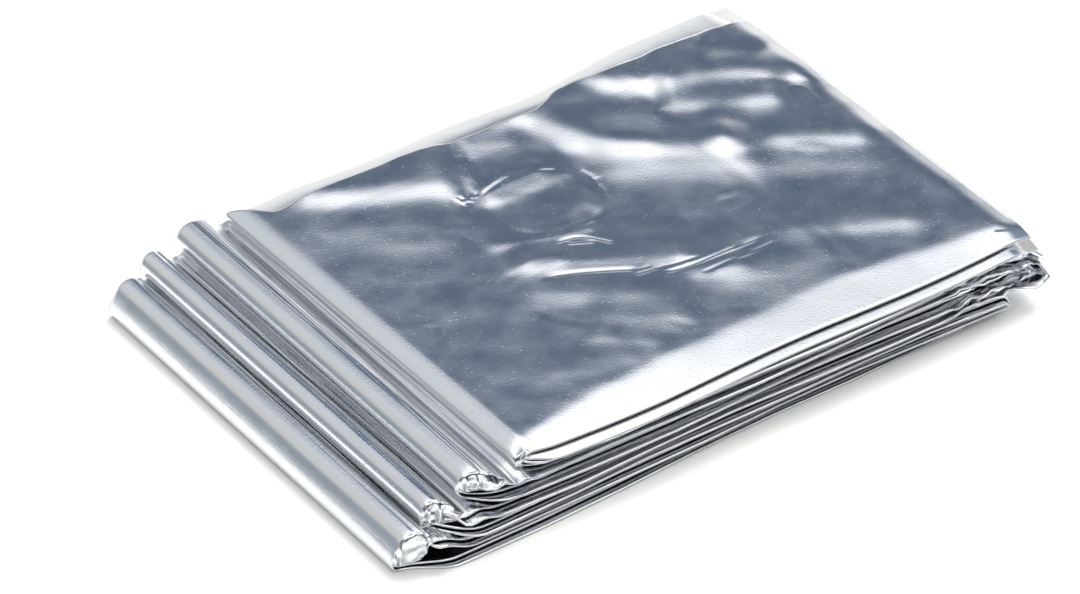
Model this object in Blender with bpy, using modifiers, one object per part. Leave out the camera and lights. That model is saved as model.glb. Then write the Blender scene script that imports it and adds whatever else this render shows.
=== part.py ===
"""A folded emergency foil blanket: one thin sheet, folded back and forth into a flat packet.

+X runs along the packet from the stepped folds to the straight end, +Y from its front edge to
its back edge, +Z up. The origin is under the middle of the packet, on the surface it lies on.
"""
import math
from collections import namedtuple

import bmesh
import bpy

MM = 0.001

# Driving dimensions, in millimetres
SHEET_THICKNESS = 1.2
LAYER_COUNT = 8
STACK_HEIGHT = 12.8
PANEL_LENGTH = 108.5
PANEL_WIDTH = 87.5
FRONT_BAND = 8.5
BACK_STRIP = 7.0
PITCH = (STACK_HEIGHT - SHEET_THICKNESS) / (LAYER_COUNT - 1)
TIGHT_FOLD = PITCH + SHEET_THICKNESS

# Folds at the stepped end, from the top one down. tip is the X of the outermost point and crest
# the Z of the highest one; height and nose are the roll's own height and half-length; shoulder
# and heel are the angles, in degrees, at which the layer above and the one below leave the roll;
# ease is how far each of those layers takes to lie flat again; skew moves the front end in X.
StepFold = namedtuple("StepFold", "tip crest height nose shoulder heel ease front back skew")
STEP_FOLDS = (
    StepFold(-0.3, 12.8, TIGHT_FOLD, 3.8, 0.0, 0.0, 0.0, -42.3, 43.6, 0.2),
    StepFold(-10.6, 12.6, 4.6, 2.3, 24.0, 8.0, 4.0, -41.8, 43.9, -0.9),
    StepFold(-18.0, 10.0, 4.7, 2.35, 23.0, 12.0, 6.0, -42.0, 43.7, -0.8),
    StepFold(-23.6, 6.6, 6.6, 3.3, 20.0, 0.0, 7.0, -43.5, 43.4, -0.9),
)

# Folds at the straight end, between layers 2 and 3, 4 and 5, 6 and 7. reach is the X of the
# outermost point, nose the half-length of the bend.
EndFold = namedtuple("EndFold", "reach nose")
END_FOLDS = (
    EndFold(110.2, 1.9),
    EndFold(109.4, 2.2),
    EndFold(102.4, 1.7),
)
FREE_ENDS = {1: PANEL_LENGTH, LAYER_COUNT: 101.0}

# Where each layer's front and back edges run: Y at the stepped end, half-way and straight end.
Edge = namedtuple("Edge", "front_step front_mid front_end back_step back_mid back_end")
EDGES = (
    Edge(-43.6, -44.0, -43.9, 43.9, 43.8, 43.9),
    Edge(-44.4, -45.3, -45.6, 43.7, 43.4, 43.6),
    Edge(-44.9, -45.6, -46.6, 43.8, 43.7, 43.2),
    Edge(-45.7, -45.5, -47.6, 43.4, 43.0, 43.3),
    Edge(-46.1, -46.0, -48.8, 43.5, 43.4, 42.9),
    Edge(-46.9, -45.8, -48.0, 43.0, 42.7, 42.6),
    Edge(-47.3, -46.2, -46.8, 43.2, 43.0, 42.3),
    Edge(-47.9, -46.0, -45.2, 42.8, 42.6, 42.1),
)
EDGE_TUCK = 9.0
EDGE_WAVE = 0.35
EDGE_WAVE_LENGTH = 61.0

# Soft swellings of the top layer: centre, half-lengths and height.
Swelling = namedtuple("Swelling", "x y along across height")
SWELLINGS = (
    Swelling(47.5, 8.0, 9.0, 7.0, 0.80),
    Swelling(34.0, 26.0, 7.0, 9.0, 0.55),
    Swelling(64.0, -15.0, 15.0, 6.0, 0.55),
    Swelling(72.0, 24.0, 8.0, 8.0, 0.50),
    Swelling(94.0, 12.0, 10.0, 9.0, 0.60),
    Swelling(93.0, -20.0, 9.0, 10.0, 0.35),
    Swelling(18.0, -20.0, 10.0, 12.0, 0.35),
    Swelling(108.5, -43.5, 5.0, 4.0, 0.90),
)
SWELLING_DEPTH = 1.9

# The top layer sags past its front band, and its back strip tilts down.
FRONT_DROOP = 1.1
BACK_DROOP = 1.2
STRIP_STEP = 0.35
STRIP_STEP_RUN = 0.9

# Mesh steps: distances from the front edge, and the number of spans along each run and bend.
STATIONS = (0.0, 2.2, 5.0, FRONT_BAND, 14.0, 21.0, 28.0, 35.0, 42.0, 49.0, 56.0, 63.0, 70.0, 75.5,
            PANEL_WIDTH - BACK_STRIP - STRIP_STEP_RUN, PANEL_WIDTH - BACK_STRIP, PANEL_WIDTH)
TOP_SPANS = 17
LAYER_SPANS = 8
EASE_SPANS = 5
STEP_BEND_SPANS = 8
END_BEND_SPANS = 8

FOIL_COLOUR = (0.63, 0.66, 0.70, 1.0)
FOIL_ROUGHNESS = 0.22

# A point of the folded middle line. layer runs from one layer's number to the next round a bend.
PathPoint = namedtuple("PathPoint", "x z layer skew rolled")


def clear_scene():
    for old in list(bpy.data.objects):
        bpy.data.objects.remove(old, do_unlink=True)


def smooth_ramp(value):
    """0 below 0, 1 above 1, and smooth between."""
    clipped = min(max(value, 0.0), 1.0)
    return clipped * clipped * (3.0 - 2.0 * clipped)


def layer_height(layer):
    """Z of the middle of a layer's thickness in the flat stack; layer 1 is the top one."""
    return 0.5 * SHEET_THICKNESS + (LAYER_COUNT - layer) * PITCH


def bend_point(centre_x, centre_z, nose, rise, angle, side):
    """A point on a bend: angle 0 is its top, 180 its bottom; side is -1 or +1 along X."""
    turn = math.radians(angle)
    return centre_x + side * nose * math.sin(turn), centre_z + rise * math.cos(turn)


def step_bend(fold):
    """Centre and half-sizes of a stepped fold's middle line."""
    half = 0.5 * SHEET_THICKNESS
    centre_x = fold.tip + fold.nose
    centre_z = fold.crest - 0.5 * fold.height
    return centre_x, centre_z, fold.nose - half, 0.5 * fold.height - half


def end_bend(fold, layer, centre_x):
    """Centre and half-sizes of a straight end's fold, which joins a layer to the one below."""
    centre_z = 0.5 * (layer_height(layer) + layer_height(layer + 1))
    return centre_x, centre_z, fold.nose - 0.5 * SHEET_THICKNESS, 0.5 * PITCH


def leaving_run(fold, layer, angle):
    """Points from a stepped fold to where its layer lies flat, leaving the roll at an angle."""
    centre_x, centre_z, nose, rise = step_bend(fold)
    start_x, start_z = bend_point(centre_x, centre_z, nose, rise, angle, -1)
    if angle in (0.0, 180.0):
        return [(start_x, start_z)]
    slope = abs(rise * math.tan(math.radians(angle)) / nose)
    drop = start_z - layer_height(layer)
    corner_x = start_x + drop / slope
    flat_x = corner_x + fold.ease
    points = []
    for step in range(EASE_SPANS + 1):
        part = step / EASE_SPANS
        rest = 1.0 - part
        x = rest * rest * start_x + 2.0 * rest * part * corner_x + part * part * flat_x
        z = start_z - drop * (2.0 * rest * part + part * part)
        points.append((x, z))
    return points


def sheet_path():
    """The sheet's middle line, seen from the front: from the top free end to the bottom one."""
    path = []

    def add(points, layer, skew=0.0, rolled=False):
        for x, z in points:
            path.append(PathPoint(x, z, layer, skew, rolled))

    def add_bend(points, upper, skew=0.0, rolled=False):
        for step, point in enumerate(points):
            add([point], upper + step / (len(points) - 1), skew, rolled)

    def flat_run(start, end, z, spans):
        return [(start + (end - start) * step / spans, z) for step in range(1, spans)]

    arrival = FREE_ENDS[1]
    add([(arrival, layer_height(1))], 1)
    for index, fold in enumerate(STEP_FOLDS):
        upper = 2 * index + 1
        lower = upper + 1
        spans = TOP_SPANS if upper == 1 else LAYER_SPANS
        towards = leaving_run(fold, upper, -fold.shoulder)
        away = leaving_run(fold, lower, 180.0 - fold.heel)
        add(flat_run(arrival, towards[-1][0], layer_height(upper), spans), upper)
        add(reversed(towards[1:]), upper, fold.skew, True)

        first, last = -fold.shoulder, 180.0 - fold.heel
        angles = [first + (last - first) * step / STEP_BEND_SPANS
                  for step in range(STEP_BEND_SPANS + 1)]
        add_bend([bend_point(*step_bend(fold), angle, -1) for angle in angles],
                 upper, fold.skew, True)
        add(away[1:], lower, fold.skew, True)

        if lower == LAYER_COUNT:
            end_x = FREE_ENDS[lower]
            add(flat_run(away[-1][0], end_x, layer_height(lower), LAYER_SPANS), lower)
            add([(end_x, layer_height(lower))], lower)
            break
        end = END_FOLDS[index]
        arrival = end.reach - end.nose
        add(flat_run(away[-1][0], arrival, layer_height(lower), LAYER_SPANS), lower)
        angles = [180.0 * step / END_BEND_SPANS for step in range(END_BEND_SPANS + 1)]
        add_bend([bend_point(*end_bend(end, lower, arrival), angle, 1) for angle in angles], lower)
    return path


def through_three(first, middle, last, x):
    """The curve through an edge's Y at the stepped end, half-way and the straight end."""
    part = x / PANEL_LENGTH
    return (first * (1.0 - part) * (1.0 - 2.0 * part) + middle * 4.0 * part * (1.0 - part)
            + last * part * (2.0 * part - 1.0))


def edge_line(point):
    """Y of the front and the back edge at a point of the path."""
    above = EDGES[math.floor(point.layer) - 1]
    below = EDGES[math.ceil(point.layer) - 1]
    part = point.layer % 1.0
    edge = Edge(*(high + (low - high) * part for high, low in zip(above, below)))
    x = min(max(point.x, 0.0), PANEL_LENGTH)
    wave = EDGE_WAVE * math.sin(2.0 * math.pi * x / EDGE_WAVE_LENGTH + 2.0 * point.layer)
    front = through_three(edge.front_step, edge.front_mid, edge.front_end, x) + wave
    back = through_three(edge.back_step, edge.back_mid, edge.back_end, x) - wave
    fold = STEP_FOLDS[int(point.layer - 1) // 2]
    tucked = smooth_ramp((fold.tip + EDGE_TUCK - point.x) / EDGE_TUCK)
    return front + (fold.front - front) * tucked, back + (fold.back - back) * tucked


def droop(distance):
    """How far the top layer lies below its own level at a distance from its front edge."""
    front = max(0.0, 1.0 - distance / FRONT_BAND)
    strip = distance - (PANEL_WIDTH - BACK_STRIP)
    fall = FRONT_DROOP * front * front
    if strip >= 0.0:
        fall += STRIP_STEP + (BACK_DROOP - STRIP_STEP) * strip / BACK_STRIP
    return fall


def swelling(x, y, depth):
    """Rise of the sheet over the soft swellings, less the deeper the layer lies."""
    rise = 0.0
    for spot in SWELLINGS:
        reach = ((x - spot.x) / spot.along) ** 2 + ((y - spot.y) / spot.across) ** 2
        rise += spot.height * math.exp(-reach)
    return rise * math.exp(-depth / SWELLING_DEPTH)


def sheet_point(point, distance):
    """The sheet's middle surface at a path point and a distance from the front edge."""
    front, back = edge_line(point)
    across = distance / PANEL_WIDTH
    y = front + (back - front) * across
    x = point.x + point.skew * (1.0 - across)
    lift = (point.z - layer_height(LAYER_COUNT)) / (layer_height(1) - layer_height(LAYER_COUNT))
    depth = max(0.0, layer_height(1) - point.z)
    z = point.z - droop(distance) * lift
    if not point.rolled:
        z += swelling(x, y, depth) * lift
    return x, y, z


def fold_sheet(path):
    """The open middle surface: a flat grid, its columns laid along the path, row by row."""
    shape = bmesh.new()
    bmesh.ops.create_grid(shape, x_segments=len(path) - 1, y_segments=len(STATIONS) - 1)
    shape.verts.ensure_lookup_table()
    for number, vertex in enumerate(shape.verts):
        row, column = divmod(number, len(path))
        vertex.co = sheet_point(path[column], STATIONS[row])
    centre_on_origin(shape)
    return shape


def centre_on_origin(shape):
    """Moves the surface so that its middle stands over the origin, and turns it to metres."""
    xs = [vertex.co.x for vertex in shape.verts]
    ys = [vertex.co.y for vertex in shape.verts]
    shift = (-0.5 * (min(xs) + max(xs)), -0.5 * (min(ys) + max(ys)), 0.0)
    bmesh.ops.translate(shape, verts=shape.verts, vec=shift)
    bmesh.ops.scale(shape, verts=shape.verts, vec=(MM, MM, MM))


def foil_material():
    material = bpy.data.materials.new("aluminised_film")
    material.use_nodes = True
    shader = material.node_tree.nodes["Principled BSDF"]
    shader.inputs["Base Color"].default_value = FOIL_COLOUR
    shader.inputs["Metallic"].default_value = 1.0
    shader.inputs["Roughness"].default_value = FOIL_ROUGHNESS
    return material


def make_blanket(collection):
    shape = fold_sheet(sheet_path())
    mesh = bpy.data.meshes.new("foil_blanket")
    shape.to_mesh(mesh)
    shape.free()
    blanket = bpy.data.objects.new("foil_blanket", mesh)
    collection.objects.link(blanket)
    mesh.materials.append(foil_material())
    mesh.shade_smooth()
    wall = blanket.modifiers.new("thickness", "SOLIDIFY")
    wall.thickness = SHEET_THICKNESS * MM
    wall.offset = 0.0
    wall.use_even_offset = True
    return blanket


def main():
    clear_scene()
    collection = bpy.data.collections.new("folded_foil_blanket")
    bpy.context.scene.collection.children.link(collection)
    make_blanket(collection)


main()
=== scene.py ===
# A folded emergency foil blanket: one sheet of aluminised film, folded into a flat packet.
# The sheet is made flat, in the size it was cut to, and then folded ply by ply and layer by layer.
import math

import bmesh
import bpy
import numpy as np
from mathutils import Matrix, Vector, noise


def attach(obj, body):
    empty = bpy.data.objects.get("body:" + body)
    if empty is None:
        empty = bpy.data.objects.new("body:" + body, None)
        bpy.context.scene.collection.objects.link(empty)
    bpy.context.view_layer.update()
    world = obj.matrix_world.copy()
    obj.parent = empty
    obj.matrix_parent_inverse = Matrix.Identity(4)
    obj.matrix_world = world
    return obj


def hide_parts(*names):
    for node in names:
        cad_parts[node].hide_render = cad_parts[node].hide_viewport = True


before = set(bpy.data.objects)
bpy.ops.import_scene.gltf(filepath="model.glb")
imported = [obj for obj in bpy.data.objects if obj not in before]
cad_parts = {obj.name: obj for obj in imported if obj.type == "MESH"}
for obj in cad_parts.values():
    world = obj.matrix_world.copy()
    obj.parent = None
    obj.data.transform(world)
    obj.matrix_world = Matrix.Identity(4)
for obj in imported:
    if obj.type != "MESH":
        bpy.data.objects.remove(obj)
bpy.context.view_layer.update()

mm = 0.001


def linear(hexColour):
    # an sRGB hex colour as the linear values that Blender's sockets take
    channels = [int(hexColour[i:i + 2], 16) / 255 for i in (1, 3, 5)]
    values = [c / 12.92 if c <= 0.04045 else ((c + 0.055) / 1.055) ** 2.4 for c in channels]
    return tuple(values) + (1.0,)


def addNode(tree, kind, values=None, links=None, **settings):
    node = tree.nodes.new(kind)
    for name, value in settings.items():
        setattr(node, name, value)
    for socket, value in (values or {}).items():
        node.inputs[socket].default_value = value
    for socket, source in (links or {}).items():
        tree.links.new(source, node.inputs[socket])
    return node


def smoothStep(value):
    clipped = np.clip(value, 0.0, 1.0)
    return clipped * clipped * (3.0 - 2.0 * clipped)


# Camera

camera = {
    "azimuth": -35.85,        # degrees, turned from looking along +Y
    "elevation": 36.39,       # degrees above the floor
    "distance": 1.19695,      # m along the view to the foot of the top fold
    "offset": (-0.02923, -0.01579),       # m from the view's middle to that foot, right and up
    "lens": 233.33,           # mm, long, so the perspective is weak
    "sensor": 36.0,
    "farClip": 20.0,
    "panelMiddle": (0.04287, -0.00212),   # m from that foot to the packet's middle, X and Y
}


def makeCamera(c):
    turn, tilt = math.radians(c["azimuth"]), math.radians(c["elevation"])
    forward = Vector((-math.sin(turn) * math.cos(tilt), math.cos(turn) * math.cos(tilt),
                      -math.sin(tilt)))
    right = Vector((math.cos(turn), math.sin(turn), 0.0))
    up = right.cross(forward)
    place = -right * c["offset"][0] - up * c["offset"][1] - forward * c["distance"]
    place -= Vector((*c["panelMiddle"], 0.0))
    data = bpy.data.cameras.new("camera")
    data.lens = c["lens"]
    data.sensor_width = c["sensor"]
    data.clip_end = c["farClip"]
    eye = bpy.data.objects.new("camera", data)
    bpy.context.scene.collection.objects.link(eye)
    eye.matrix_world = Matrix.Translation(place) @ Matrix((right, up, -forward)).transposed().to_4x4()
    bpy.context.scene.camera = eye


makeCamera(camera)
print("camera set")


# Studio: a pale floor and a soft light tent with a few darker panels in its walls

studio = {
    "floor": "#f4f4f2",
    "floorSize": 6.0,         # m
    "floorRoughness": 0.9,
    "floorGloss": 0.2,
    "lampSize": 0.5,          # m
    "lampPlace": (0.44, 0.30, 0.62),
    "lampPower": 8.0,         # W, lights the floor and isn't mirrored in the film
    "strength": 1.7,
    # degrees above the horizon and the tent's colour there
    "tent": [(-90, "#bcbcbc"), (-2, "#c7c6c4"), (4, "#d2d0cb"), (17, "#d1d2d3"), (28, "#a3acb9"),
             (38, "#9aa6b8"), (46, "#d6dae1"), (54, "#fffdf7"), (70, "#fffdf7"),
             (80, "#8b929b"), (90, "#666e77")],
    "panelCore": 0.55,        # share of a panel's half width that has its full colour
    # panels in its walls: heading in degrees from +Y towards +X, half their width, then the
    # heights between which they fade in and out
    "panels": [
        dict(heading=-38, half=62, low=(-80, -70), high=(44, 62), colour="#b2b1af"),
        dict(heading=-47, half=36, low=(-8, 4), high=(14, 28), colour="#7d858b"),
        dict(heading=-2, half=30, low=(22, 38), high=(48, 60), colour="#aeb2b7"),
        dict(heading=35.9, half=46, low=(12, 25), high=(38.5, 49), colour="#4a5666"),
        dict(heading=148, half=34, low=(-3, 6), high=(38, 50), colour="#1a1e24"),
        dict(heading=-100, half=34, low=(16, 28), high=(41, 50), colour="#414a54"),
        dict(heading=-155, half=26, low=(2, 12), high=(38, 48), colour="#323942"),
    ],
}


def makeStudio(s):
    floorShape = bmesh.new()
    bmesh.ops.create_grid(floorShape, x_segments=1, y_segments=1, size=s["floorSize"] / 2)
    mesh = bpy.data.meshes.new("floor")
    floorShape.to_mesh(mesh)
    floorShape.free()
    floor = bpy.data.objects.new("floor", mesh)
    bpy.context.scene.collection.objects.link(floor)
    # matt paper: even and pale, with hardly any gloss
    paper = bpy.data.materials.new("matt_backdrop_paper")
    paper.use_nodes = True
    shader = paper.node_tree.nodes["Principled BSDF"]
    shader.inputs["Base Color"].default_value = linear(s["floor"])
    shader.inputs["Roughness"].default_value = s["floorRoughness"]
    shader.inputs["Specular IOR Level"].default_value = s["floorGloss"]
    mesh.materials.append(paper)

    world = bpy.data.worlds.new("light_tent")
    bpy.context.scene.world = world
    world.use_nodes = True
    tree = world.node_tree
    tree.nodes.clear()
    way = addNode(tree, "ShaderNodeTexCoord")
    split = addNode(tree, "ShaderNodeSeparateXYZ", links={0: way.outputs["Generated"]})
    height = addNode(tree, "ShaderNodeMath", operation="ARCSINE", links={0: split.outputs["Z"]})
    place = addNode(tree, "ShaderNodeMapRange", {"From Min": -math.pi / 2, "From Max": math.pi / 2},
                    {"Value": height.outputs[0]})
    ramp = addNode(tree, "ShaderNodeValToRGB", links={0: place.outputs[0]})
    stops = ramp.color_ramp.elements
    stops.remove(stops[1])
    for number, (degrees, colour) in enumerate(s["tent"]):
        position = (degrees + 90) / 180
        stop = stops[0] if number == 0 else stops.new(position)
        stop.position = position
        stop.color = linear(colour)
    heading = addNode(tree, "ShaderNodeMath", operation="ARCTAN2",
                      links={0: split.outputs["X"], 1: split.outputs["Y"]})
    colour = ramp.outputs[0]
    for panel in s["panels"]:
        turned = addNode(tree, "ShaderNodeMath", {1: math.radians(panel["heading"])},
                         {0: heading.outputs[0]}, operation="SUBTRACT")
        facing = addNode(tree, "ShaderNodeMath", links={0: turned.outputs[0]}, operation="COSINE")
        edge = math.cos(math.radians(panel["half"]))
        inner = math.cos(math.radians(s["panelCore"] * panel["half"]))
        share = addNode(tree, "ShaderNodeMapRange", {"From Min": edge, "From Max": inner},
                        {"Value": facing.outputs[0]}, interpolation_type="SMOOTHSTEP")
        fadeIn, fadeOut = ([math.radians(v) for v in panel[name]] for name in ("low", "high"))
        above = addNode(tree, "ShaderNodeMapRange", {"From Min": fadeIn[0], "From Max": fadeIn[1]},
                        {"Value": height.outputs[0]}, interpolation_type="SMOOTHSTEP")
        below = addNode(tree, "ShaderNodeMapRange",
                        {"From Min": fadeOut[0], "From Max": fadeOut[1], "To Min": 1, "To Max": 0},
                        {"Value": height.outputs[0]}, interpolation_type="SMOOTHSTEP")
        tall = addNode(tree, "ShaderNodeMath", operation="MULTIPLY",
                       links={0: above.outputs[0], 1: below.outputs[0]})
        both = addNode(tree, "ShaderNodeMath", operation="MULTIPLY",
                       links={0: tall.outputs[0], 1: share.outputs[0]})
        mixed = addNode(tree, "ShaderNodeMix", {7: linear(panel["colour"])},
                        {0: both.outputs[0], 6: colour}, data_type="RGBA")
        colour = mixed.outputs[2]
    glow = addNode(tree, "ShaderNodeBackground", {"Strength": s["strength"]}, {"Color": colour})
    addNode(tree, "ShaderNodeOutputWorld", links={"Surface": glow.outputs[0]})

    lampData = bpy.data.lights.new("softbox", "AREA")
    lampData.shape = "SQUARE"
    lampData.size = s["lampSize"]
    lampData.energy = s["lampPower"]
    lamp = bpy.data.objects.new("softbox", lampData)
    lamp.location = s["lampPlace"]
    lamp.visible_glossy = False
    lamp.rotation_euler = Vector(s["lampPlace"]).to_track_quat("Z", "Y").to_euler()
    bpy.context.scene.collection.objects.link(lamp)
    bpy.context.scene.view_settings.view_transform = "Standard"


makeStudio(studio)
print("studio set")


# The film

film = {
    "colour": "#e0e2e6",
    "roughness": 0.17,
    "dulling": (0.8, 1.3),    # the roughness times this, where the haze is thinnest and thickest
    "hazeSize": 6.0,          # mm, the clouds of haze
    "hazeRange": (0.3, 0.7),
    "grainSize": 0.50,        # mm, fine crumple of the film, drawn coarser so that it shows
    "grainDepth": 0.016,
    "dentSize": 1.1,          # mm between the small dents
    "dentWidth": 0.2,         # as a share of that
    "dentDepth": 0.015,
    "lineSize": 0.50,         # mm, spacing of the fine lines that run along the folds
    "lineLength": 30.0,
    "lineDepth": 0.160,
    "lineShare": 0.06,        # of their depth that is left away from the valleys
    "lineStart": 104.0,       # mm from the sheet's end to the first roll
    "lineFade": 3.0,
}


def makeFilm(f):
    # aluminium evaporated on polyester film: a mirror, hazed by fine crumples from folding
    material = bpy.data.materials.new("aluminised_polyester_film")
    material.use_nodes = True
    tree = material.node_tree
    shader = tree.nodes["Principled BSDF"]
    shader.inputs["Base Color"].default_value = linear(f["colour"])
    shader.inputs["Metallic"].default_value = 1.0
    flat = addNode(tree, "ShaderNodeUVMap", uv_map="flatSheet")

    def stretched(along, across):
        return addNode(tree, "ShaderNodeMapping", {"Scale": (1 / along / mm, 1 / across / mm, 1.0)},
                       {"Vector": flat.outputs[0]}).outputs[0]

    grain = addNode(tree, "ShaderNodeTexNoise", {"Scale": 1.0, "Detail": 3.0, "Roughness": 0.6},
                    {"Vector": stretched(f["grainSize"], f["grainSize"])})
    lines = addNode(tree, "ShaderNodeTexNoise", {"Scale": 1.0, "Detail": 2.0},
                    {"Vector": stretched(f["lineSize"], f["lineLength"])})
    haze = addNode(tree, "ShaderNodeTexNoise", {"Scale": 1.0, "Detail": 5.0},
                   {"Vector": stretched(f["hazeSize"], f["hazeSize"])})
    dents = addNode(tree, "ShaderNodeTexVoronoi", {"Scale": 1.0},
                    {"Vector": stretched(f["dentSize"], f["dentSize"])})
    dent = addNode(tree, "ShaderNodeMapRange",
                   {"From Min": 0.0, "From Max": f["dentWidth"], "To Min": 1.0, "To Max": 0.0},
                   {"Value": dents.outputs["Distance"]}, interpolation_type="SMOOTHSTEP")
    thin, thick = (f["roughness"] * share for share in f["dulling"])
    dulled = addNode(tree, "ShaderNodeMapRange",
                     {"From Min": f["hazeRange"][0], "From Max": f["hazeRange"][1],
                      "To Min": thin, "To Max": thick}, {"Value": haze.outputs[0]})
    tree.links.new(dulled.outputs[0], shader.inputs["Roughness"])
    place = addNode(tree, "ShaderNodeSeparateXYZ", links={0: flat.outputs[0]})
    onRolls = addNode(tree, "ShaderNodeMapRange",
                      {"From Min": f["lineStart"] * mm,
                       "From Max": (f["lineStart"] + f["lineFade"]) * mm},
                      {"Value": place.outputs["X"]})
    creped = addNode(tree, "ShaderNodeAttribute", attribute_name="creped")
    share = addNode(tree, "ShaderNodeMapRange", {"To Min": f["lineShare"], "To Max": 1.0},
                    {"Value": creped.outputs["Fac"]})
    lineHeight = addNode(tree, "ShaderNodeMath", operation="MULTIPLY",
                         links={0: lines.outputs[0], 1: share.outputs[0]})
    ruled = addNode(tree, "ShaderNodeMath", operation="MULTIPLY",
                    links={0: lineHeight.outputs[0], 1: onRolls.outputs[0]})
    fine = addNode(tree, "ShaderNodeBump", {"Strength": 1.0, "Distance": f["grainDepth"] * mm},
                   {"Height": grain.outputs[0]})
    lined = addNode(tree, "ShaderNodeBump", {"Strength": 1.0, "Distance": f["lineDepth"] * mm},
                    {"Height": ruled.outputs[0], "Normal": fine.outputs[0]})
    dented = addNode(tree, "ShaderNodeBump", {"Strength": 1.0, "Distance": f["dentDepth"] * mm},
                     {"Height": dent.outputs[0], "Normal": lined.outputs[0]})
    tree.links.new(dented.outputs[0], shader.inputs["Normal"])
    return material


filmMaterial = makeFilm(film)
print("film finish made")


# The sheet

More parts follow.
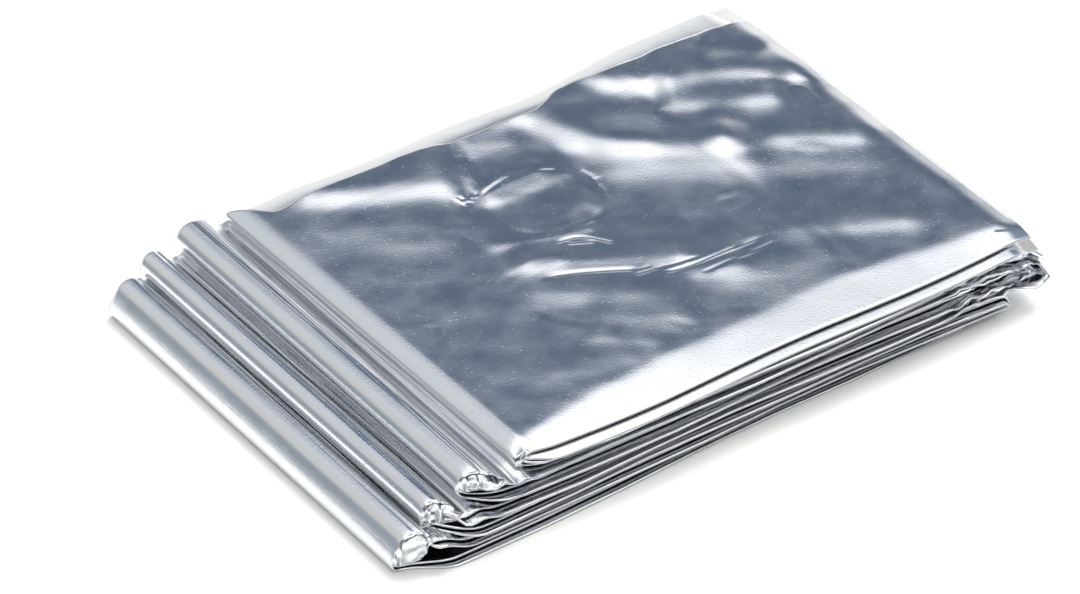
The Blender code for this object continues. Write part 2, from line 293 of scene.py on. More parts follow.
sheet = {                     # in mm: X from the top fold, Y from the panel's middle line
    "layers": 8,
    "layerThickness": 1.2,
    "stackHeight": 12.8,
    "panelLength": 108.5,
    "panelWidth": 87.5,
    "plyOffsets": (0.57, 0.19, -0.19, -0.57),   # the four plies of a layer, out from its middle
    "plyFold": 1.2,                             # film taken by the turn from one ply to the next
    "plyNose": 0.35,
    "filmThickness": 0.04,
    # folds at the stepped end, from the top one down. line is the middle of the layer round the
    # roll, in X and Z, and turn its points between which one layer becomes the next. fringe is
    # how far the outer ply turns down over the roll's front end, pleat the spacing of its
    # pleats, and fill how far the film beside it bulges up into the slot at fillPlace.
    "stepFolds": [
        dict(line=[(9, 12.2), (6, 12.2), (4.3, 12.2), (3.1, 12.22), (2.1, 11.95), (1.2, 11.5),
                   (0.35, 11.1), (0.35, 10.6), (1.5, 10.543), (3, 10.543), (5, 10.543)],
             turn=(3, 8), tip=-0.3, crest=12.8, front=-42.3, back=43.6, skew=0.2,
             fringe=2.4, pleat=1.9, reach=3.2, fill=0.0, fillPlace=0.0, ridges=0.0),
        dict(line=[(3, 8.886), (1, 8.886), (-0.4, 8.9), (-1.4, 9.05), (-2.4, 9.6), (-3.3, 10.5),
                   (-4.3, 11.35), (-5.4, 11.85), (-6.5, 12.08), (-7.3, 12.12), (-8.1, 12.04),
                   (-9.0, 11.55), (-9.8, 10.5), (-10.1, 9.3), (-9.2, 8.4), (-7.3, 7.8),
                   (-4.6, 7.3), (-2, 7.229), (0, 7.229)],
             turn=(9, 15), tip=-10.6, crest=12.6, front=-41.8, back=43.9, skew=-0.9,
             fringe=3.2, pleat=1.55, reach=9.0, fill=0.35, fillPlace=0.9, ridges=0.10),
        dict(line=[(-5, 5.571), (-7, 5.571), (-8.6, 5.571), (-10.0, 5.6), (-11.1, 5.85),
                   (-11.9, 6.5), (-12.5, 7.4), (-13.1, 8.3), (-13.9, 8.98), (-14.8, 9.4),
                   (-15.6, 9.5), (-16.4, 9.25), (-17.2, 8.3), (-17.5, 7.3), (-17.2, 6.3),
                   (-16.2, 5.5), (-14.2, 4.8), (-11, 4.1), (-8, 3.914), (-6, 3.914)],
             turn=(10, 16), tip=-18.0, crest=10.0, front=-42.0, back=43.7, skew=-0.8,
             fringe=4.3, pleat=1.9, reach=8.0, fill=1.1, fillPlace=-8.6, ridges=0.12),
        dict(line=[(-11, 2.257), (-13, 2.257), (-15, 2.257), (-16.6, 2.4), (-17.7, 3.0),
                   (-18.6, 4.2), (-19.4, 5.4), (-20.3, 6.0), (-21.3, 5.95), (-22.3, 5.3),
                   (-23.0, 4.2), (-23.6, 3.1), (-24.15, 2.0), (-24.35, 1.0), (-23.8, 0.55),
                   (-22, 0.55), (-17, 0.6), (-14, 0.6)],
             turn=(7, 15), tip=-24.0, crest=6.6, front=-43.5, back=43.4, skew=-0.9,
             fringe=5.2, pleat=1.7, reach=7.0, fill=2.1, fillPlace=-16.1, ridges=0.16),
    ],
    "endFolds": [dict(reach=110.6, nose=1.9), dict(reach=111.0, nose=2.2),
                 dict(reach=102.4, nose=1.7)],
    "freeEnds": {1: 109.8, 8: 101.0},
    # Y of the front and back edges of each layer: stepped end, half-way, straight end
    "edges": [
        (-43.6, -44.0, -43.9, 43.9, 43.8, 44.8),
        (-44.4, -45.3, -45.4, 43.7, 43.4, 43.6),
        (-44.9, -45.6, -46.0, 43.8, 43.7, 43.2),
        (-45.7, -45.5, -46.5, 43.4, 43.0, 43.3),
        (-46.1, -46.0, -47.4, 43.5, 43.4, 42.9),
        (-46.9, -45.8, -47.4, 43.0, 42.7, 42.6),
        (-47.3, -46.2, -46.8, 43.2, 43.0, 42.3),
        (-47.9, -46.0, -45.2, 42.8, 42.6, 42.1),
    ],
    "edgeTuck": 9.0,          # over which an edge goes over to that of its roll
    "edgeWave": 0.35,
    "edgeWaveLength": 61.0,
    # how far the front fold of each pair of plies stands out from its layer's edge
    "pairStep": [(0.5, -1.5), (0.9, -0.3), (-0.2, 1.1), (-0.3, 1.5), (1.3, -0.4), (-0.5, 0.7),
                 (0.9, -0.2), (-0.4, 0.8)],
    # X and the width of the band along the front edge that slopes down
    "frontBand": [(-30, 3.0), (0, 3.0), (5, 4.5), (10, 5.6), (20, 7.0), (30, 7.9), (45, 8.7),
                  (60, 9.0), (75, 8.8), (88, 7.7), (98, 6.1), (105, 4.6), (109, 3.4)],
    # X and how far the front edge of the top layer hangs down there
    "droop": [(-30, 0.2), (-2, 0.3), (3, 1.3), (30, 1.35), (52, 1.15), (109, 1.0)],
    "bandSoftness": 0.55,
    "bandLine": -43.9,        # Y of the front edge that the band is measured from
    # X and how far the top ply's free edge stands in from the back
    "inset": [(0.5, 0.0), (3.5, 3.0), (6.5, 6.0), (37, 6.2), (40, 6.6), (43, 7.7), (57, 7.7),
              (60.5, 8.2), (64, 7.0), (67, 5.3), (71, 5.3), (75, 6.3), (94, 6.9), (110, 7.3)],
    "backStrip": 7.2,
    # X and the slope in degrees at which the film behind that free edge goes down
    "stripSlope": [(0, 15.0), (62, 15.0), (77, 14.0), (84, 10.0), (98, 9.0), (110, 5.0)],
    "stripLine": 43.8,        # Y of the back edge that the strip is measured from
    "farEdge": 106.4,         # from this X on the top rounds off to the straight end
    "farSlope": 0.24,
    # the fine ridges in the valleys: spacing, length, seed and share of the roll's ridges
    "ridgeNoise": [(0.55, 45.0, 2.2, 1.6), (1.5, 60.0, 6.4, 2.0)],
    "crushedFrom": 87.0,      # X from which the front folds under the panel are crushed
    "crushedFade": 7.0,
    "crushedReach": 3.5,      # how far in from the front
    "crushedOut": 1.3,
    "crushedUp": 0.9,
    # the grid of the flat sheet: columns along the folded path, rows across the plies in mm from
    # the front
    "panelColumns": 17, "layerColumns": 7, "valleyColumns": 14, "rollColumns": 20,
    "endColumns": 7, "noseSteps": 6,
    "topRows": (0, 0.5, 1, 1.6, 2.3, 3.1, 4, 5.2, 6.8, 8.5, 12, 18, 24, 30, 36, 42, 48, 54, 60, 66,
                72, 78, 80, 81.5, 83, 84.5, 86, 87, 87.5),
    "innerRows": (0, 0.7, 2, 4.5, 9, 22, 44, 66, 80, 85.5, 87.5),
    # where the grid is split further: the part, along the path (0) or across it (1), the cuts
    # and the shortest edge that is cut
    "splits": [("topFilm", 0, 6, 3.0), ("topMiddle", 1, 6, 3.0), ("topMargins", 1, 1, 1.4),
               ("valleys", 0, 3, 0.4), ("rollFronts", 0, 1, 0.45), ("rollFronts", 1, 1, 0.45),
               ("creased", 0, 2, 0.5), ("creased", 1, 2, 0.5), ("crushedEnds", 0, 11, 3.0)],
    "margin": 8.0,            # of the top ply along its front and back
    "fringeMargin": 6.8,      # of the rolls along their front ends
    "crushedMargin": 6.0,
    "valleyRun": 10.0,        # path before each roll that lies in a valley
    "rollRuns": [(0, 11), (-9, 8), (-9, 8), (-9, 8)],   # path from each roll's start, its front end
    # middles and half sizes of the places that hold fine creases
    "creased": [(46.5, 4.2, 11.5, 2.4), (47.5, 19.4, 11.0, 3.2), (56.6, 12.0, 1.6, 5.0),
                (38.5, 23.5, 6.0, 3.0), (47.5, 25.0, 4.0, 1.8), (41.0, 32.0, 2.2, 5.5),
                (44.5, -1.8, 4.8, 3.6), (39.5, -8.5, 8.5, 4.5), (54.0, -15.8, 9.0, 3.2),
                (64.0, -19.2, 7.5, 2.4), (104.5, -41.8, 4.5, 3.0)],
}


def layerHeight(p, layer):
    pitch = (p["stackHeight"] - p["layerThickness"]) / (p["layers"] - 1)
    return p["layerThickness"] / 2 + (p["layers"] - layer) * pitch


def smoothLine(points, count):
    # a smooth line (uniform cubic B-spline) along the points, and its place among them
    points = np.array(points, dtype=float)
    ends = np.vstack((2 * points[0] - points[1], points, 2 * points[-1] - points[-2]))
    place = np.linspace(0, len(points) - 1 - 1e-9, count)
    whole = place.astype(int)
    u = (place - whole)[:, None]
    weights = ((1 - u) ** 3, 3 * u ** 3 - 6 * u ** 2 + 4, -3 * u ** 3 + 3 * u ** 2 + 3 * u + 1,
               u ** 3)
    around = [ends[np.clip(whole + step, 0, len(ends) - 1)] for step in range(4)]
    line = sum(weight * near for weight, near in zip(weights, around)) / 6
    return line[:, 0], line[:, 1], place


def foldedPath(p):
    # the layers' middle line in X and Z, as dense points with the columns of the grid on it
    points = {name: [] for name in ("x", "z", "layer", "skew", "valley", "fold")}
    columns, marks = [], {}

    def add(xs, zs, layers, skew, valley, fold, columnCount):
        start = max(len(points["x"]) - 1, 0)
        for name, values in (("x", xs), ("z", zs), ("layer", layers), ("skew", skew),
                             ("valley", valley), ("fold", fold)):
            points[name].extend(np.broadcast_to(values, len(xs)))
        places = np.linspace(start, len(points["x"]) - 1, columnCount + 1)
        columns.extend(places[1:] if columns else places)

    def flatRun(start, end, layer, index, columnCount):
        xs = np.linspace(start, end, 61)[1 if points["x"] else 0:]
        add(xs, np.full(len(xs), layerHeight(p, layer)), layer, 0.0, 0.0, index, columnCount)

    arrival = p["freeEnds"][1]
    for index, fold in enumerate(p["stepFolds"]):
        upper, lower = 2 * index + 1, 2 * index + 2
        xs, zs, place = smoothLine(fold["line"], 301)
        flatRun(arrival, xs[0], upper, index, p["panelColumns"] if upper == 1 else p["layerColumns"])
        first, last = fold["turn"]
        layers = upper + smoothStep((place - first) / (last - first))
        skew = fold["skew"] * smoothStep(place / 3) * smoothStep((len(fold["line"]) - 1 - place) / 3)
        valley = smoothStep((first + 0.5 - place) / 1.5)
        crest = int(np.searchsorted(place, first))
        if index > 0:
            add(xs[1:crest], zs[1:crest], layers[1:crest], skew[1:crest], valley[1:crest], index,
                p["valleyColumns"])
        marks["roll%d" % index] = len(points["x"]) - 1
        crest = crest if index > 0 else 1
        add(xs[crest:], zs[crest:], layers[crest:], skew[crest:], 0.0, index, p["rollColumns"])
        if lower == p["layers"]:
            flatRun(xs[-1], p["freeEnds"][lower], lower, index, p["layerColumns"])
            break
        end = p["endFolds"][index]
        departure = end["reach"] - end["nose"]
        flatRun(xs[-1], departure, lower, index, p["layerColumns"])
        turn = np.radians(np.linspace(0, 180, 50))[1:]
        nose = end["nose"] - p["layerThickness"] / 2
        middle = (layerHeight(p, lower) + layerHeight(p, lower + 1)) / 2
        rise = (layerHeight(p, lower) - layerHeight(p, lower + 1)) / 2
        add(departure + nose * np.sin(turn), middle + rise * np.cos(turn),
            np.linspace(lower, lower + 1, 49), 0.0, 0.0, index + 0.5, p["endColumns"])
        arrival = departure
    path = {name: np.array(values, dtype=float) for name, values in points.items()}
    run = np.hypot(np.diff(path["x"]), np.diff(path["z"]))
    path["s"] = np.concatenate(([0.0], np.cumsum(run)))
    path["nx"] = np.gradient(path["z"], path["s"])
    path["nz"] = -np.gradient(path["x"], path["s"])
    path["columns"] = np.interp(columns, np.arange(len(path["s"])), path["s"])
    path["marks"] = {name: path["s"][place] for name, place in marks.items()}
    return path


def foldedAcross(p):
    # the plies across the strip: for each distance over the flat sheet, where it lies in a layer
    width, turn = p["panelWidth"], p["plyFold"]
    rows, table = [], {"t": [], "out": [], "fromFront": [], "nose": [], "ply": []}
    start = 0.0
    for ply, out in enumerate(p["plyOffsets"]):
        toFront = ply % 2 == 0
        steps = p["topRows"] if ply == 0 else p["innerRows"]
        for distance in steps:
            rows.append(start + (width - distance if toFront else distance))
        for part in (0.0, 1.0):
            table["t"].append(start + part * width)
            table["out"].append(out)
            table["fromFront"].append(width * (1 - part if toFront else part))
            table["nose"].append(0.0)
            table["ply"].append(ply)
        start += width
        if ply == 3:
            break
        following = p["plyOffsets"][ply + 1]
        for step in range(1, p["noseSteps"]):
            angle = math.pi * step / p["noseSteps"]
            place = start + turn * step / p["noseSteps"]
            rows.append(place)
            table["t"].append(place)
            table["out"].append((out + following) / 2 + (out - following) / 2 * math.cos(angle))
            table["fromFront"].append(0.0 if toFront else width)
            table["nose"].append(math.sin(angle) * (-1 if toFront else 1))
            table["ply"].append(ply + step / p["noseSteps"])
        start += turn
    across = {name: np.array(values, dtype=float) for name, values in table.items()}
    across["rows"] = np.array(sorted(rows))
    across["length"] = start
    return across


path = foldedPath(sheet)
across = foldedAcross(sheet)
print("path", round(path["s"][-1], 1), "mm, strip", round(across["length"], 1), "mm",
      len(path["columns"]), "columns", len(across["rows"]), "rows")


def splitFaces(shape, chosen, axis, cuts, least):
    # splits the chosen faces along the path (axis 0) or across it, at edges no shorter than least
    edges = set()
    for face in shape.faces:
        if chosen(face.calc_center_median()):
            for edge in face.edges:
                step = edge.verts[0].co - edge.verts[1].co
                if abs(step[axis]) > 3 * abs(step[1 - axis]) and step.length > least:
                    edges.add(edge)
    bmesh.ops.subdivide_edges(shape, edges=list(edges), cuts=cuts, use_grid_fill=True)


def flatSheet(p, path, across):
    # the cut sheet, flat, with more faces where its top ply will show
    shape = bmesh.new()
    columns, rows = path["columns"], across["rows"]
    bmesh.ops.create_grid(shape, x_segments=len(columns) - 1, y_segments=len(rows) - 1)
    shape.verts.ensure_lookup_table()
    for number, vertex in enumerate(shape.verts):
        row, column = divmod(number, len(columns))
        vertex.co = (columns[column], rows[row], 0.0)
    rolls = [path["marks"]["roll%d" % index] for index in range(4)]
    width, margin = p["panelWidth"], p["margin"]

    def topFilm(c):
        return c.x < rolls[0] and c.y < width + 1

    def topMiddle(c):
        return c.x < rolls[0] and margin < c.y < width - margin

    def topMargins(c):
        return c.x < rolls[0] and (c.y < margin or width - margin < c.y < width)

    def valleys(c):
        return c.y < width and any(-p["valleyRun"] < c.x - start < 0 for start in rolls[1:])

    def rollFronts(c):
        return (width - p["fringeMargin"] < c.y < width + 1
                and any(low < c.x - start < high for start, (low, high) in zip(rolls, p["rollRuns"])))

    def creased(c):
        x, y = p["panelLength"] - c.x, p["panelWidth"] / 2 - c.y
        return x > 0 and any(abs(x - cx) < rx and abs(y - cy) < ry for cx, cy, rx, ry in p["creased"])

    def crushedEnds(c):
        x, layer = (np.interp(c.x, path["s"], path[name]) for name in ("x", "layer"))
        return (x > p["crushedFrom"] - 4 and 1.2 < layer < 5.4
                and np.interp(c.y, across["t"], across["fromFront"]) < p["crushedMargin"])

    parts = dict(topFilm=topFilm, topMiddle=topMiddle, topMargins=topMargins, valleys=valleys,
                 rollFronts=rollFronts, creased=creased, crushedEnds=crushedEnds)
    for name, axis, cuts, least in p["splits"]:
        splitFaces(shape, parts[name], axis, cuts, least)
    manySided = [face for face in shape.faces if len(face.verts) > 4]
    bmesh.ops.triangulate(shape, faces=manySided)
    flat = shape.loops.layers.uv.new("flatSheet")
    for face in shape.faces:
        for corner in face.loops:
            corner[flat].uv = (corner.vert.co.x * mm, corner.vert.co.y * mm)
    return shape


# Folds and creases of the top panel, in mm: X from the top fold and Y from the middle line.

panel = {
    "coreShare": 0.8,         # of a broad fold's rise that its own width takes
    "haloShare": 0.25,        # and that the wider lift round it takes
    "haloWidth": 2.2,         # times the fold's width
    "fallOff": (2.8, 4.0),    # behind it the film goes down over this many widths, plus mm
    # broad folds that catch the light: how far the film leans to the front there in degrees,
    # half the fold's width, the length over which its ends fade, and its line from the back
    "leans": [
        (8.2, 3.1, 7, [(9, 38), (14, 34.8), (20, 31.6), (27, 28.3), (33, 25.4), (36.5, 23)]),
        (4.0, 2.6, 5, [(29, 37), (33, 34), (38, 30)]),
        (8.8, 2.9, 8, [(55.5, 40), (57.5, 33), (60, 26), (62.5, 19.5), (66.5, 15.5), (71.5, 12),
                       (77.5, 8.2), (84, 5)]),
        (3.6, 3.6, 8, [(59, 12.5), (66, 9), (72, 5), (78, 1), (84, -2.5)]),
        (-2.8, 3.2, 6, [(71, 13), (80, 7.4), (89, 2.5)]),
        (7.6, 2.6, 6, [(79, 7.8), (86, 4.2), (92, 0.8), (98, -3.2), (104, -7.4)]),
        (1.6, 2.6, 7, [(79, -2), (87, -6.5), (95, -11), (102, -16.5)]),
        (8.6, 3.1, 8, [(70.5, 42), (73, 36.5), (76.5, 32.5), (81, 29.6), (86, 26.6), (92, 25),
                       (97, 22), (102, 17.5), (107, 13)]),
        (7.0, 3.0, 5, [(79, 22), (84, 19.4), (89, 16.8), (94, 14), (99, 11.5)]),
        (1.6, 2.8, 5, [(73, 34), (79, 30), (86, 27)]),
        (4.6, 3.2, 3, [(86.5, 37.5), (90.5, 34.5), (94, 30.5)]),
        (4.2, 2.6, 3, [(98, 36.5), (101.5, 32), (104, 27)]),
        (4.8, 2.0, 6, [(73, -18.8), (78, -21.8), (83, -24.8), (89, -28.2), (96, -31.6)]),
        (3.2, 3.0, 8, [(56, -24.5), (63, -27.5), (72, -28.8), (80, -30)]),
        (5.0, 2.2, 5, [(30, -1.5), (36, -4.2), (42, -7.5), (48, -11.2), (54, -14.2), (58, -15.8)]),
        (3.2, 1.4, 4, [(53, -20), (58, -22.5), (64, -24)]),
        (3.3, 2.8, 7, [(26, -8), (33, -13), (40, -18.5), (47, -24)]),
        (2.6, 2.6, 6, [(32, -20), (39, -26), (46, -31)]),
        (3.8, 1.3, 4, [(28, -24), (33, -28.5), (38, -33)]),
        (2.0, 1.6, 4, [(17, -29), (25, -32.5), (33, -34)]),
        (3.0, 2.6, 7, [(4.5, 31), (9, 24.5), (16, 17.5), (24, 11)]),
        (2.4, 1.8, 6, [(13, 25), (20, 20.5), (28, 16.5)]),
        (1.2, 2.4, 7, [(5, 12), (12, 7), (19, 3)]),
        (4.8, 1.5, 3, [(36.5, 18.3), (40, 16.4), (43.5, 16.4), (47, 16.2), (51, 16.9),
                       (55.5, 16.2)]),
        (4.2, 1.8, 4, [(37.5, 20.3), (42, 19.6), (47, 19.4), (52, 19)]),
        (4.6, 1.8, 4, [(37, 7.4), (42, 6.8), (48, 6.2), (54, 6)]),
        (5.8, 0.9, 3, [(30, 6), (35, 5), (39, 2.9), (43, 1.7), (49, 0.2)]),
        (5.6, 2.2, 5, [(42, 36.8), (48, 35.2), (54, 34.6), (58, 33.6)]),
        (3.6, 3.0, 5, [(42, 32), (48, 30.6), (54, 29)]),
        (4.5, 0.9, 3, [(29, -2.2), (34, -3), (39, -4.8)]),
        (4.6, 1.1, 4, [(62, 38), (66, 34.5), (71, 32)]),
    ],
    # fine ridges (troughs where the height is negative): height, width to the left and to the
    # right of the line, the length over which the ends fade, and the line
    "creases": [
        (-0.06, 0.5, 0.5, 3, [(26.5, -2), (30, -1.8), (34, -2.2), (37.5, -3)]),
        (-0.12, 0.6, 0.5, 3, [(32.5, -6), (37, -7.3), (42, -10.2), (47, -13.2)]),
        (-0.10, 0.5, 0.5, 2, [(45.5, -14.3), (50, -14.9), (54, -15.6), (58, -16.3)]),
        (-0.05, 0.4, 0.4, 2, [(47, -13.4), (52, -14.2), (56, -15.2)]),
        (-0.13, 0.55, 0.5, 3, [(50.5, -16.6), (56, -17.7), (62, -17.9), (70, -18.1)]),
        (-0.07, 0.45, 0.45, 3, [(56, -20.4), (63, -20.9), (71, -20.5)]),
        (0.07, 0.5, 0.8, 2, [(42.6, 34.8), (42.2, 31.5), (40.6, 28), (38.6, 25)]),
        (0.07, 0.8, 0.6, 2, [(37.8, 20.3), (42, 22.2), (46, 24), (50, 25.7)]),
        (0.05, 0.4, 0.4, 1, [(50.5, 27.8), (52.5, 29), (54.6, 29.3)]),
        (-0.10, 0.45, 0.4, 1.5, [(40.3, 1), (43.5, 0.9), (46, -0.7), (48.3, -4.8)]),
        (0.08, 0.4, 0.4, 1, [(41.5, -0.2), (44, -1.6), (46, -2.6)]),
        (0.06, 0.5, 0.5, 1, [(71.5, -4.3), (76, -4.2)]),
        (-0.05, 0.5, 0.5, 1, [(70.5, -6), (72.5, -4.6)]),
        (0.05, 0.7, 0.7, 1, [(82.5, 5), (84.5, 4.6), (86, 3.4)]),
        (0.06, 0.5, 0.5, 1, [(27, 15.4), (29.6, 15.9)]),
        (0.08, 0.6, 0.6, 1, [(78.4, 23.8), (80.2, 22.6)]),
        (-0.07, 0.6, 0.6, 3, [(97, 20.5), (101.5, 17), (107.5, 13)]),
        (0.06, 0.6, 0.5, 1.5, [(91.5, 0.2), (94, -3.6)]),
        (0.06, 0.6, 0.5, 1.5, [(93.4, -0.6), (95.8, -4.2)]),
        (-0.045, 0.6, 0.5, 5, [(78.0, 38.5), (77.9, 10), (78.2, -35)]),
        (-0.035, 0.5, 0.5, 5, [(79.2, 37.5), (79.1, 10), (79.4, -33)]),
        (-0.05, 0.6, 0.6, 2, [(43, -27.5), (45.5, -32)]),
        (-0.04, 0.6, 0.6, 2, [(26, -12), (28, -17), (32, -21.5)]),
        (0.04, 0.6, 0.6, 2, [(8.0, -4.6), (10.8, -5.4)]),
        (-0.10, 0.6, 0.5, 3, [(35.6, 9), (37.5, 5.7), (41, 3.8), (46, 2.9), (51, 3.3),
                               (54.6, 5), (56.2, 8.5), (57, 13)]),
        (-0.10, 0.5, 0.6, 3, [(57.2, 12), (57, 16), (55, 18.6), (51, 21), (46, 21.8), (41, 21),
                               (38, 20.3)]),
        (0.55, 1.7, 0.45, 0.8, [(104.6, -40.2), (103.0, -44.8)]),
    ],
    "wrinkles": dict(along=(0.81, -0.586), length=22.0, width=6.5, height=0.10),
    "ripples": dict(along=(0.81, -0.586), length=9.0, width=2.4, height=0.014),
    "crumple": dict(place=(35.2, 22.0), radius=2.3, size=1.3, height=0.20, sharpness=2.2),
    "reach": 3.2,             # mm of depth over which the folds below follow the panel's
    "start": (1.5, 4.0),      # X from which there are folds, and the length over which they rise
    "bandShare": 0.85,        # how much of them the front band loses
    "bandLine": -42.4,        # Y from which that is measured, with the band's width
    "bandFade": 4.0,
}


def besideLine(x, y, line):
    # distance to the left of a line of points (negative on its right) and the length run along it
    line = np.array(line, dtype=float)
    nearest = np.full(x.shape, 1e9)
    signed, along = np.zeros(x.shape), np.zeros(x.shape)
    run = 0.0
    for start, end in zip(line[:-1], line[1:]):
        step = end - start
        length = np.hypot(*step)
        part = ((x - start[0]) * step[0] + (y - start[1]) * step[1]) / length ** 2
        inside = np.clip(part, 0.0, 1.0)
        dx, dy = x - start[0] - inside * step[0], y - start[1] - inside * step[1]
        distance = np.hypot(dx, dy)
        side = np.where(step[0] * dy - step[1] * dx >= 0, 1.0, -1.0)
        closer = distance < nearest
        nearest = np.where(closer, distance, nearest)
        signed = np.where(closer, side * distance, signed)
        along = np.where(closer, run + part * length, along)
        run += length
    return signed, along, run


def softened(value, radius):
    return radius * np.logaddexp(0.0, value / radius)


def fadedEnds(along, run, fade):
    return smoothStep(along / fade + 0.4) * smoothStep((run - along) / fade + 0.4)


def panelRelief(f, x, y):
    # height of the top panel's folds above its flat plane
    relief = np.zeros(x.shape)
    for lean, width, fade, line in f["leans"]:
        line = np.column_stack(smoothLine(line, 4 * len(line))[:2])
        side, along, run = besideLine(x, y, line)
        core = 1.0 + np.tanh(side / width)
        halo = f["haloWidth"] + f["haloWidth"] * np.tanh(side / width / f["haloWidth"])
        rise = width * math.tan(math.radians(lean)) * (f["coreShare"] * core + f["haloShare"] * halo)
        past = np.clip(side, 0.0, None) / (f["fallOff"][0] * width + f["fallOff"][1])
        relief += rise * np.exp(-past ** 2) * fadedEnds(along, run, fade)
    for height, left, right, fade, line in f["creases"]:
        line = np.column_stack(smoothLine(line, 4 * len(line))[:2])
        side, along, run = besideLine(x, y, line)
        width = np.where(side > 0, left, right)
        relief += height * np.exp(-(side / width) ** 2) * fadedEnds(along, run, fade)
    return relief


def noiseAt(x, y, size, seed):
    return np.array([noise.noise((a / size, b / size, seed)) for a, b in zip(x, y)])


def panelNoise(f, x, y):
    relief = np.zeros(x.shape)
    for seed, name in ((3.7, "wrinkles"), (8.1, "ripples")):
        w = f[name]
        along = x * w["along"][0] + y * w["along"][1]
        side = -x * w["along"][1] + y * w["along"][0]
        relief += w["height"] * noiseAt(along / w["length"], side / w["width"], 1.0, seed)
    c = f["crumple"]
    reach = np.exp(-((x - c["place"][0]) ** 2 + (y - c["place"][1]) ** 2) / c["radius"] ** 2)
    sharp = 1.0 - c["sharpness"] * np.abs(noiseAt(x, y, c["size"], 5.5))
    return relief + c["height"] * reach * sharp * (reach > 0.02)


def throughThree(first, middle, last, x, length):
    part = x / length
    return (first * (1 - part) * (1 - 2 * part) + middle * 4 * part * (1 - part)
            + last * part * (2 * part - 1))


def edgeLines(p, x, layer, fold, ply):
    # Y of the front and back edges at each point, for its layer and its pair of plies
    table = np.array(p["edges"])
    numbers = np.arange(1, p["layers"] + 1)
    values = [np.interp(layer, numbers, table[:, column]) for column in range(6)]
    along = np.clip(x, 0.0, p["panelLength"])
    wave = p["edgeWave"] * np.sin(2 * math.pi * along / p["edgeWaveLength"] + 2 * layer)
    front = throughThree(*values[:3], along, p["panelLength"]) + wave
    back = throughThree(*values[3:], along, p["panelLength"]) - wave
    steps = np.array(p["pairStep"])
    nearest = np.clip(np.rint(layer).astype(int) - 1, 0, p["layers"] - 1)
    pair = smoothStep(ply - 1.0)
    jump = steps[nearest, 0] * (1 - pair) + steps[nearest, 1] * pair
    foldRow = np.clip(fold, 0, 3).astype(int)
    tips = np.array([f["tip"] for f in p["stepFolds"]])[foldRow]
    tucked = smoothStep((tips + p["edgeTuck"] - x) / p["edgeTuck"])
    foldFront = np.array([f["front"] for f in p["stepFolds"]])[foldRow]
    foldBack = np.array([f["back"] for f in p["stepFolds"]])[foldRow]
    front = (front + jump) * (1 - tucked) + foldFront * tucked
    back = back * (1 - tucked) + foldBack * tucked
    inset = np.interp(x, *zip(*p["inset"])) * np.clip(2 - layer, 0, 1) * (x > 0)
    back = back - inset * np.clip(1 - ply, 0, 1)
    return front, back


fringe = {                    # the outer ply over the front ends of the rolls, in mm
    "rise": 3.0,              # X over which it begins to turn down
    "panelEnd": 4.0,          # X on the top fold at which it no longer does
    "panelFade": 2.0,
    "softness": 0.18,         # of the fold itself
    "least": 0.02,            # less than this isn't turned down
    "pleatDepth": 1.0,
    "pleatMiddle": 0.3,
    "pleatFade": (1.6, 1.2),  # over the length turned down, and where there is little of it
    "wander": 0.8,            # how far the pleats shift along a roll
    "wanderRate": 0.9,
    "crumpleFrom": 0.3,
    "crumpleDepth": 0.4,
    "crumpleSize": 1.3,
    "setBack": 3.0,           # of the plies behind it
    "setBackReach": 6.0,
    "followReach": 2.2,       # how far in the next ply follows it down
}


def turnDown(p, f, x, z, layer, lie, front, back, which):
    # Y and Z of each point once the outer ply turns down over the rolls' ends, in pleats
    values = {name: np.array([fold[name] for fold in p["stepFolds"]])[which]
              for name in ("tip", "crest", "fringe", "pleat", "reach")}
    near = smoothStep((values["tip"] + values["reach"] - x) / f["rise"])
    hang = np.clip(z - (values["crest"] - values["fringe"]), 0.0, None) * near
    onPanel = smoothStep((f["panelEnd"] - x) / f["panelFade"])
    hang = np.where(layer < 1.0001, hang * onPanel, hang)
    distance, ply = lie["fromFront"], lie["ply"]
    outer = np.clip(1.0 - ply, 0.0, 1.0)
    inFold = softened(distance - hang, f["softness"])
    down = softened(hang - distance, f["softness"]) * (hang > f["least"])
    part = np.where(hang > f["least"], inFold / (p["panelWidth"] - hang), distance / p["panelWidth"])
    outerY = front + (back - front) * part
    phase = x / values["pleat"] + f["wander"] * np.sin(f["wanderRate"] * x + which)
    zigzag = 2.0 * np.abs(phase - np.floor(phase) - 0.5)
    pleated = smoothStep(down / f["pleatFade"][0]) * smoothStep(hang / f["pleatFade"][1])
    outerY = outerY - f["pleatDepth"] * (zigzag - f["pleatMiddle"]) * pleated
    hung = np.flatnonzero(down > f["crumpleFrom"])
    outerY[hung] -= f["crumpleDepth"] * noiseAt(x[hung], z[hung] - down[hung], f["crumpleSize"], 9.1)
    inner = np.clip(ply, 0.0, 1.0) * smoothStep(hang)
    innerY = front + (back - front) * distance / p["panelWidth"]
    behind = inner * np.clip(ply - 1.0, 0.0, 1.0) * np.exp(-distance / f["setBackReach"])
    innerY = innerY + f["setBack"] * behind
    innerDown = hang * np.exp(-(distance / f["followReach"]) ** 2) * np.clip(2.0 - ply, 0.0, 1.0)
    y = outerY * outer + innerY * (1.0 - outer) + p["plyNose"] * lie["nose"]
    return y, z - down * outer - innerDown * (1.0 - outer)


def closeSlots(p, x, z, layer):
    # the film bulges up to close the slots between the rolls
    for index in (1, 2, 3):
        fill, middle = (p["stepFolds"][index][name] for name in ("fill", "fillPlace"))
        here = np.abs(layer - (2 * index + 1)) < 0.3
        z = z + here * fill * np.exp(-((x - middle) / (1.0 + 0.8 * fill)) ** 2)
    return z


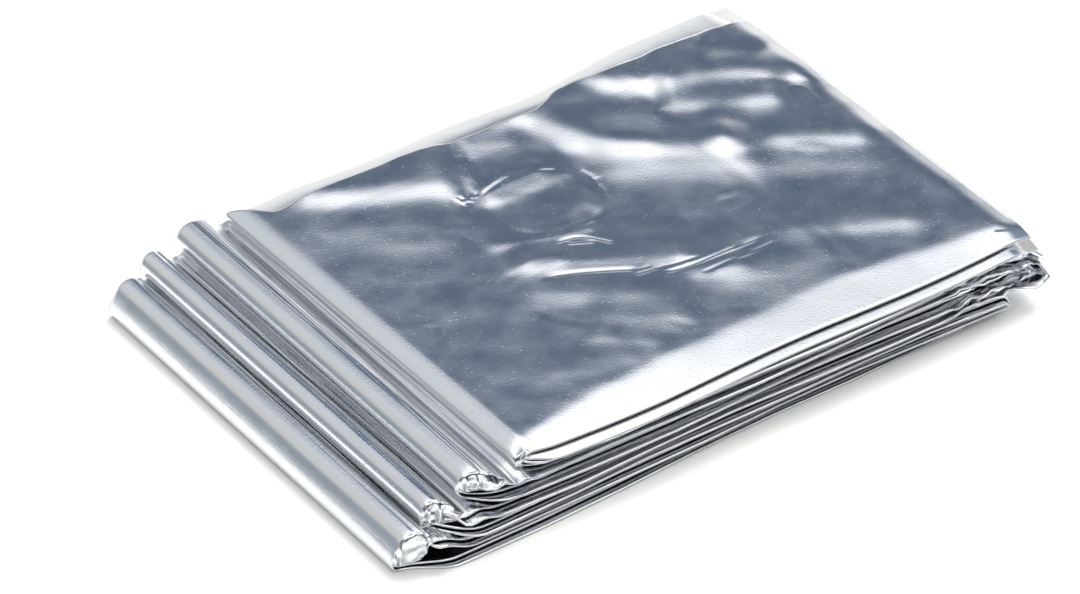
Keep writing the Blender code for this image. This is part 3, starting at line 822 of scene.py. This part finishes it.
def droopAt(p, x, y, ply, bandWidth):
    # how far the front band, the back strip and the straight end go down
    inBand = softened(p["bandLine"] + bandWidth - y, p["bandSoftness"])
    droop = np.interp(x, *zip(*p["droop"])) * inBand / bandWidth
    strip = softened(y - p["stripLine"] + p["backStrip"], 0.4) * np.clip(ply, 0, 1)
    droop = droop + np.tan(np.radians(np.interp(x, *zip(*p["stripSlope"])))) * strip
    return droop + p["farSlope"] * softened(x - p["farEdge"], 0.5)


def crushEnds(p, x, y, z, layer, lie):
    # crushed front folds under the panel's far end
    crushed = smoothStep((x - p["crushedFrom"]) / p["crushedFade"])
    crushed = crushed * np.exp(-lie["fromFront"] / p["crushedReach"])
    crushed = crushed * (layer > 1.2) * (layer < 5.4)
    those = np.flatnonzero(crushed > 0.02)
    turn = 3.1 * layer[those] + 1.7 * np.rint(lie["ply"][those])
    y[those] -= p["crushedOut"] * crushed[those] * (noiseAt(x[those], turn, 2.4, 4.4) - 0.25)
    z[those] += p["crushedUp"] * crushed[those] * noiseAt(x[those], turn, 3.1, 7.7)


def foldSheet(p, path, across, flat):
    # where each point of the flat sheet lies in the packet, in mm from the top fold
    s, t = flat[:, 0], flat[:, 1]
    at = {name: np.interp(s, path["s"], path[name])
          for name in ("x", "z", "nx", "nz", "layer", "skew", "valley", "fold")}
    size = np.hypot(at["nx"], at["nz"])
    lie = {name: np.interp(t, across["t"], across[name])
           for name in ("out", "fromFront", "nose", "ply")}
    layer, ply = at["layer"], lie["ply"]
    front, back = edgeLines(p, at["x"], layer, at["fold"], ply)
    which = np.clip(np.rint(at["fold"]), 0, 3).astype(int)
    out = lie["out"].copy()
    lined = np.flatnonzero((at["valley"] > 0.01) & (ply < 0.2))
    depths = np.array([fold["ridges"] for fold in p["stepFolds"]])[which[lined]]
    ridges = sum(share * noiseAt(s[lined] / spacing, t[lined] / length, 1.0, seed)
                 for spacing, length, seed, share in p["ridgeNoise"])
    out[lined] += depths * at["valley"][lined] * ridges
    x0 = at["x"] + at["nx"] / size * out
    z0 = at["z"] + at["nz"] / size * out
    y, z = turnDown(p, fringe, x0, z0, layer, lie, front, back, which)
    z = closeSlots(p, x0, z, layer)
    x = x0 + at["skew"] * (1 - lie["fromFront"] / p["panelWidth"])
    top, bottom = layerHeight(p, 1), layerHeight(p, p["layers"])
    lift = np.clip((at["z"] - bottom) / (top - bottom), 0.0, 1.2)
    bandWidth = np.interp(x, *zip(*p["frontBand"]))
    z = z - droopAt(p, x, y, ply, bandWidth) * lift
    crushEnds(p, x, y, z, layer, lie)

    # the panel's folds, followed less and less by the layers below
    depth = np.clip(top + p["plyOffsets"][0] - z0, 0.0, None)
    showing = np.flatnonzero((depth < 9) & (x > -1.5) & (layer < 6.5))
    px, py = x[showing], y[showing]
    folds = panelRelief(panel, px, py) + panelNoise(panel, px, py)
    begin, rise = panel["start"]
    folds = folds * smoothStep((px - begin) / rise) * np.exp(-depth[showing] / panel["reach"])
    inFront = smoothStep((panel["bandLine"] + bandWidth[showing] - py) / panel["bandFade"])
    folds = folds * (1 - panel["bandShare"] * inFront)
    z[showing] += folds
    return np.column_stack((x, y, z)), at["valley"]


def makeSheet(p):
    shape = flatSheet(p, path, across)
    mesh = bpy.data.meshes.new("foil_sheet")
    shape.to_mesh(mesh)
    shape.free()
    flat = np.empty(3 * len(mesh.vertices))
    mesh.vertices.foreach_get("co", flat)
    flat = flat.reshape(-1, 3)
    places, valley = foldSheet(p, path, across, flat)
    places[:, 0] -= camera["panelMiddle"][0] / mm
    places[:, 1] -= camera["panelMiddle"][1] / mm
    mesh.vertices.foreach_set("co", (places * mm).ravel())
    mesh.attributes.new("creped", "FLOAT", "POINT").data.foreach_set("value", valley)
    mesh.update()
    piece = bpy.data.objects.new("foil_sheet", mesh)
    bpy.context.scene.collection.objects.link(piece)
    mesh.materials.append(filmMaterial)
    mesh.shade_smooth()
    wall = piece.modifiers.new("film_thickness", "SOLIDIFY")
    wall.thickness = p["filmThickness"] * mm
    wall.offset = 0.0
    print("sheet folded,", len(mesh.vertices), "points")
    return piece


foilSheet = makeSheet(sheet)
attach(foilSheet, "root")
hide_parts("foil_blanket")
print("sheet declared")
